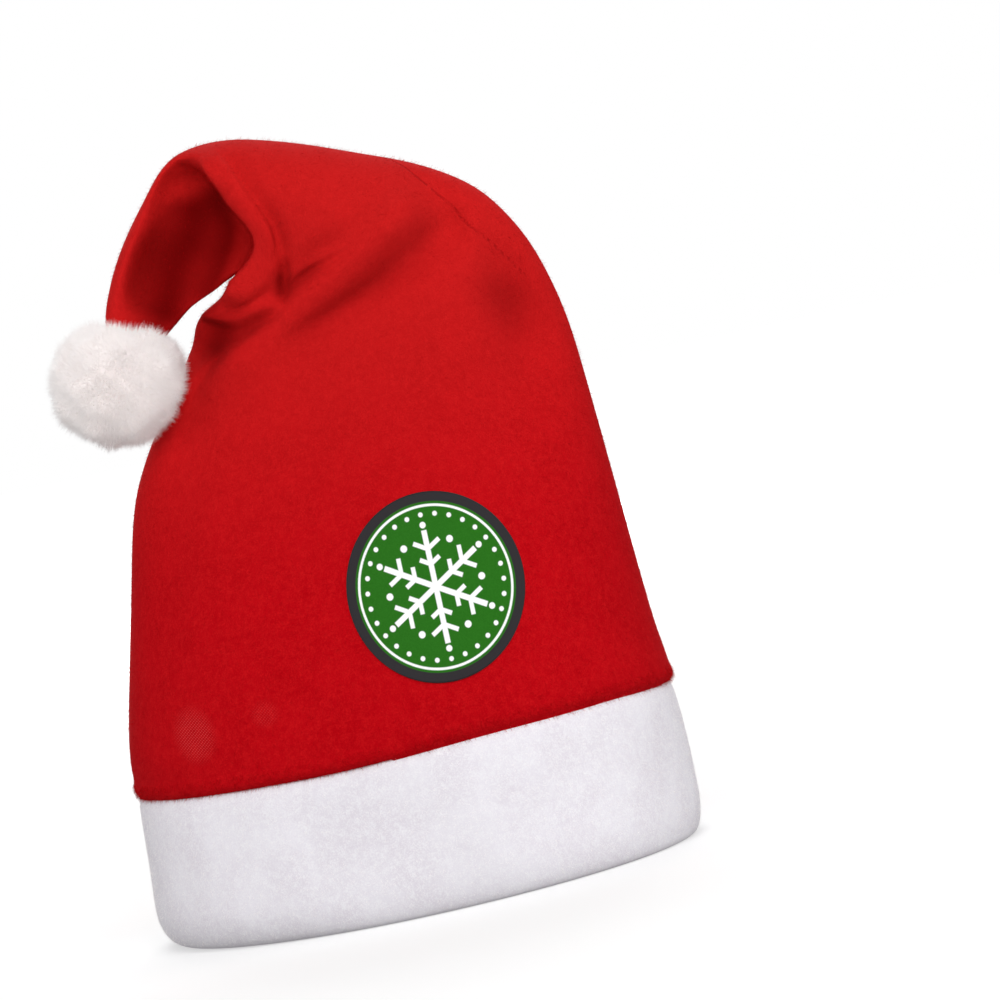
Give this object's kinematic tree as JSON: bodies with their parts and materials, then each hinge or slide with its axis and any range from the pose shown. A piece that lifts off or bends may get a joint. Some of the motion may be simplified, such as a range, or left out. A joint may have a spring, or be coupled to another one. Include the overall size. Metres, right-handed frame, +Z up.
{
  "type": "santa hat",
  "caption": "Red felt santa hat standing on a white cuff, its tip folded over to one side with a white pompom at the end and a round print on the front.",
  "frame": {"origin": "middle of the oval rim, at the height of the surface that the hat stands on", "axes": "+Z up towards the fold at the top, -Y towards the printed front, -X towards the side that the tip falls to"},
  "size_m": [0.1915, 0.171, 0.2657],
  "materials": {
    "crown_felt": "red brushed felt with a short matt nap",
    "cuff_felt": "white brushed felt with a short matt nap",
    "pompom_pile": "dense white pile",
    "badge_print": "matt printed film"
  },
  "bodies": {
    "root": {"crown": "crown_felt", "cuff": "cuff_felt", "pompom": "pompom_pile", "front_badge": "badge_print"}
  },
  "joints": []
}
